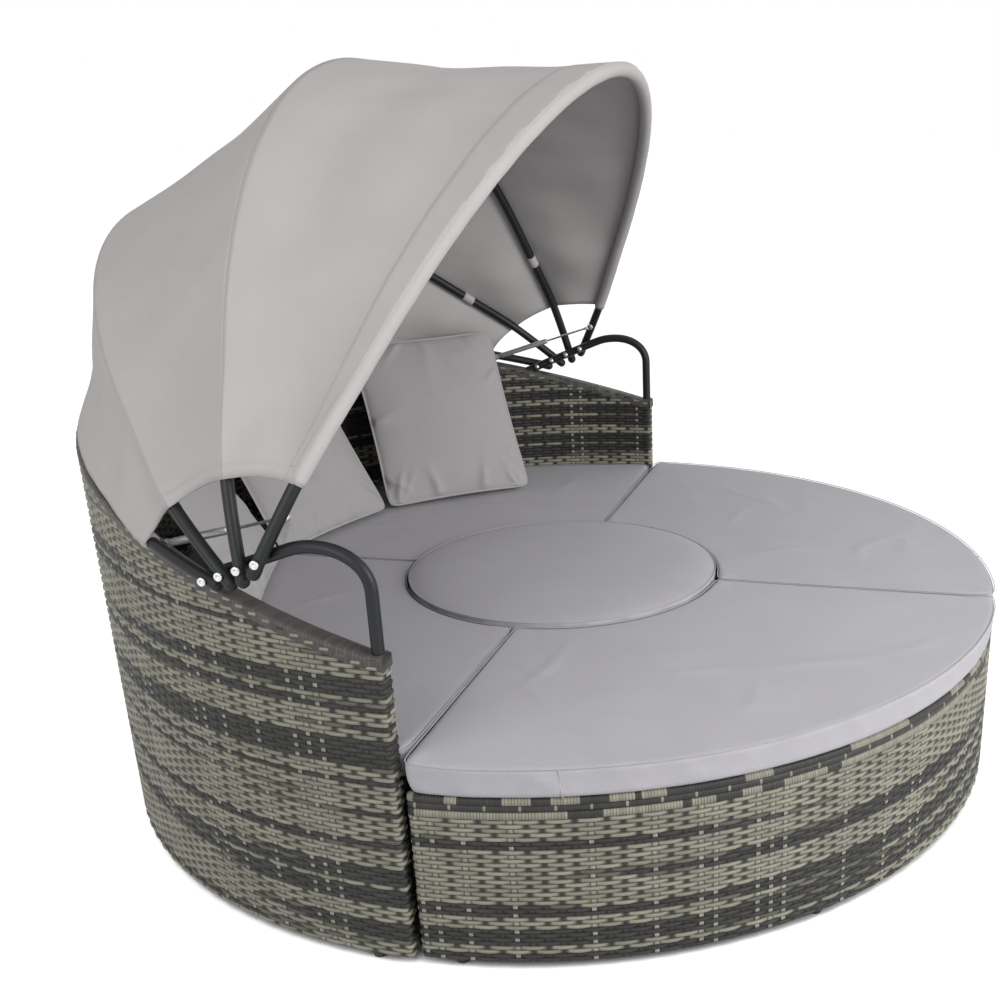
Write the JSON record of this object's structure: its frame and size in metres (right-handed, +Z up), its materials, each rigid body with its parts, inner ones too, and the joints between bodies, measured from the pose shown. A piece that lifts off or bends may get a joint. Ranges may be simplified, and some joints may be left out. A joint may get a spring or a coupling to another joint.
{
  "type": "round daybed with canopy",
  "caption": "Round wicker garden daybed: half-round sofa with a sloping wall and a folding cloth canopy, quarter-ring stools and a centre table that close the ring, all cushioned.",
  "frame": {"origin": "middle of the bounding box's base, on the floor, a few millimetres from the ring's axis", "axes": "+Z up, -Y towards the stools at the open front, +Y towards the wall at the back, +X to the right of a person who stands in front"},
  "size_m": [1.8048, 1.7958, 1.3729],
  "materials": {
    "wicker": "woven flat poly-rattan strands in dark and light grey",
    "black_tube": "black satin powder coat",
    "inner_frame": "dark powder coat, hidden inside the wicker",
    "bright_steel": "zinc-plated and ground steel",
    "strut_body": "grey lacquered steel tube",
    "seat_cloth": "plain taupe-grey outdoor cloth over foam",
    "pillow_cloth": "plain taupe-grey outdoor cloth, loose filling",
    "canopy_cloth": "light taupe-grey woven awning cloth",
    "black_foot": "black plastic glide"
  },
  "bodies": {
    "sofa": {"sofa_wall_wicker": "wicker", "sofa_wall_frame": "inner_frame", "sofa_seat_wicker": "wicker", "sofa_seat_frame": "inner_frame", "sofa_foot_1": "black_foot", "sofa_foot_2": "black_foot", "sofa_foot_3": "black_foot", "sofa_foot_4": "black_foot", "sofa_foot_5": "black_foot", "sofa_foot_6": "black_foot", "left_canopy_rail": "black_tube", "right_canopy_rail": "black_tube", "canopy_bow_rear": "black_tube", "left_pivot_bolt_1": "bright_steel", "left_pivot_bolt_2": "bright_steel", "left_pivot_bolt_3": "bright_steel", "left_pivot_bolt_4": "bright_steel", "right_pivot_bolt_1": "bright_steel", "right_pivot_bolt_2": "bright_steel", "right_pivot_bolt_3": "bright_steel", "right_pivot_bolt_4": "bright_steel", "left_strut_rear_stud": "bright_steel", "right_strut_rear_stud": "bright_steel", "rear_right_seat_cushion": "seat_cloth", "rear_left_seat_cushion": "seat_cloth", "left_pillow": "pillow_cloth", "middle_pillow": "pillow_cloth", "right_pillow": "pillow_cloth"},
    "second_bow": {"canopy_bow_second": "black_tube", "canopy_cloth_rear": "canopy_cloth"},
    "third_bow": {"canopy_bow_third": "black_tube", "canopy_cloth_middle": "canopy_cloth"},
    "front_bow": {"canopy_bow_front": "black_tube", "canopy_cloth_front": "canopy_cloth", "left_strut_front_stud": "bright_steel", "right_strut_front_stud": "bright_steel"},
    "left_strut": {"left_strut_cylinder": "strut_body"},
    "left_strut_rod_body": {"left_strut_rod": "bright_steel"},
    "right_strut": {"right_strut_cylinder": "strut_body"},
    "right_strut_rod_body": {"right_strut_rod": "bright_steel"},
    "left_stool": {"left_stool_wicker": "wicker", "left_stool_frame": "inner_frame", "front_left_seat_cushion": "seat_cloth", "left_stool_foot_1": "black_foot", "left_stool_foot_2": "black_foot", "left_stool_foot_3": "black_foot", "left_stool_foot_4": "black_foot"},
    "right_stool": {"right_stool_wicker": "wicker", "right_stool_frame": "inner_frame", "front_right_seat_cushion": "seat_cloth", "right_stool_foot_1": "black_foot", "right_stool_foot_2": "black_foot", "right_stool_foot_3": "black_foot", "right_stool_foot_4": "black_foot"},
    "table": {"table_wicker": "wicker", "table_frame": "inner_frame", "table_cushion": "seat_cloth", "table_foot_1": "black_foot", "table_foot_2": "black_foot", "table_foot_3": "black_foot"}
  },
  "joints": [
    {"name": "front_bow_hinge", "type": "hinge", "parent": "sofa", "child": "front_bow", "pos_m": [0, 0.18692, 0.67901], "axis": [-1, 0, 0], "range_deg": [0, 102.06], "deforming": ["canopy_cloth_front"]},
    {"name": "third_bow_hinge", "type": "hinge", "parent": "sofa", "child": "third_bow", "pos_m": [0, 0.2236, 0.66434], "axis": [-1, 0, 0], "range_deg": [0, 63.31], "deforming": ["canopy_cloth_middle"]},
    {"name": "second_bow_hinge", "type": "hinge", "parent": "sofa", "child": "second_bow", "pos_m": [0, 0.26027, 0.64967], "axis": [-1, 0, 0], "range_deg": [0, 27.31], "deforming": ["canopy_cloth_rear"]},
    {"name": "left_strut_hinge", "type": "hinge", "parent": "sofa", "child": "left_strut", "pos_m": [-0.78744, 0.40019, 0.66312], "axis": [0.4518, -0.359, -0.8167], "range_deg": [0, 9.12]},
    {"name": "left_strut_slide", "type": "slide", "parent": "left_strut", "child": "left_strut_rod_body", "axis": [0.23, 0.9314, -0.2822], "range_m": [0, 0.0959]},
    {"name": "right_strut_hinge", "type": "hinge", "parent": "sofa", "child": "right_strut", "pos_m": [0.78744, 0.40019, 0.66312], "axis": [0.4518, 0.359, 0.8167], "range_deg": [0, 9.12]},
    {"name": "right_strut_slide", "type": "slide", "parent": "right_strut", "child": "right_strut_rod_body", "axis": [-0.23, 0.9314, -0.2822], "range_m": [0, 0.0959]},
    {"name": "left_stool_slide", "type": "slide", "parent": "sofa", "child": "left_stool", "axis": [-0.7071, -0.7071, 0], "range_m": [0, 0.6]},
    {"name": "right_stool_slide", "type": "slide", "parent": "sofa", "child": "right_stool", "axis": [0.7071, -0.7071, 0], "range_m": [0, 0.6]},
    {"name": "table_lift", "type": "slide", "parent": "sofa", "child": "table", "axis": [0, 0, 1], "range_m": [0, 0.5]}
  ],
  "couplings": [
    {"joint": "third_bow_hinge", "follows": "front_bow_hinge", "ratio": 0.61985},
    {"joint": "second_bow_hinge", "follows": "front_bow_hinge", "ratio": 0.26713},
    {"joint": "left_strut_hinge", "follows": "front_bow_hinge", "ratio": 0.08883},
    {"joint": "left_strut_slide", "follows": "front_bow_hinge", "m_per_rad": 0.05366},
    {"joint": "right_strut_hinge", "follows": "front_bow_hinge", "ratio": 0.08883},
    {"joint": "right_strut_slide", "follows": "front_bow_hinge", "m_per_rad": 0.05366}
  ]
}
